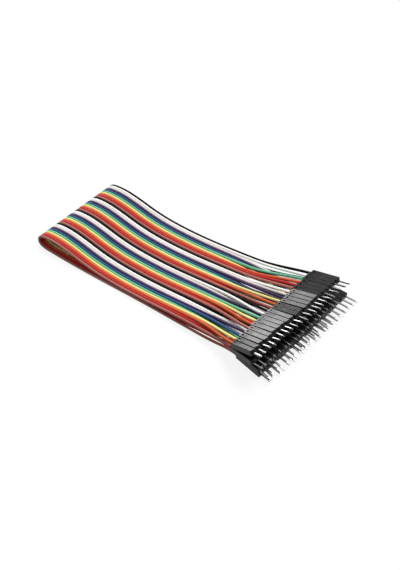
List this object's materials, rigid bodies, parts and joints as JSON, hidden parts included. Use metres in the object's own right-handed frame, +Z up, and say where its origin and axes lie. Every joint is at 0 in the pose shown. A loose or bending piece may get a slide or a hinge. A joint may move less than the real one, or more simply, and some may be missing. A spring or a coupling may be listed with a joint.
{
  "type": "jumper wire ribbon",
  "caption": "Flat ribbon of coloured jumper wires folded once on itself, each wire ending in a black single-way housing with a bare square pin.",
  "frame": {"origin": "under the middle of the whole part, on the surface that it lies on", "axes": "+X from the fold towards the pins, +Y across the ribbon towards its black edge, +Z up"},
  "size_m": [0.1403, 0.0642, 0.0185],
  "materials": {
    "black_insulation": "satin",
    "white_insulation": "satin",
    "grey_insulation": "satin",
    "purple_insulation": "satin",
    "blue_insulation": "satin",
    "green_insulation": "satin",
    "yellow_insulation": "satin",
    "orange_insulation": "satin",
    "red_insulation": "satin",
    "brown_insulation": "satin",
    "black_housing": "matte",
    "tinned_contact": "satin"
  },
  "bodies": {
    "root": {"wire_01_black": "black_insulation", "wire_02_white": "white_insulation", "wire_03_grey": "grey_insulation", "wire_04_purple": "purple_insulation", "wire_05_blue": "blue_insulation", "wire_06_green": "green_insulation", "wire_07_yellow": "yellow_insulation", "wire_08_orange": "orange_insulation", "wire_09_red": "red_insulation", "wire_10_brown": "brown_insulation", "wire_11_black": "black_insulation", "wire_12_white": "white_insulation", "wire_13_grey": "grey_insulation", "wire_14_purple": "purple_insulation", "wire_15_blue": "blue_insulation", "wire_16_green": "green_insulation", "wire_17_yellow": "yellow_insulation", "wire_18_orange": "orange_insulation", "wire_19_red": "red_insulation", "wire_20_brown": "brown_insulation", "wire_21_black": "black_insulation", "wire_22_white": "white_insulation", "wire_23_grey": "grey_insulation", "wire_24_purple": "purple_insulation", "wire_25_blue": "blue_insulation", "wire_26_green": "green_insulation", "wire_27_yellow": "yellow_insulation", "wire_28_orange": "orange_insulation", "wire_29_red": "red_insulation", "wire_30_brown": "brown_insulation", "wire_31_black": "black_insulation", "wire_32_white": "white_insulation", "wire_33_grey": "grey_insulation", "wire_34_purple": "purple_insulation", "wire_35_blue": "blue_insulation", "wire_36_green": "green_insulation", "wire_37_yellow": "yellow_insulation", "wire_38_orange": "orange_insulation", "wire_39_red": "red_insulation", "wire_40_brown": "brown_insulation", "housings_upper_end_top_row": "black_housing", "contacts_upper_end_top_row": "tinned_contact", "housings_upper_end_under_row": "black_housing", "contacts_upper_end_under_row": "tinned_contact", "housings_lower_end_top_row": "black_housing", "contacts_lower_end_top_row": "tinned_contact", "housings_lower_end_under_row": "black_housing", "contacts_lower_end_under_row": "tinned_contact"}
  },
  "joints": []
}
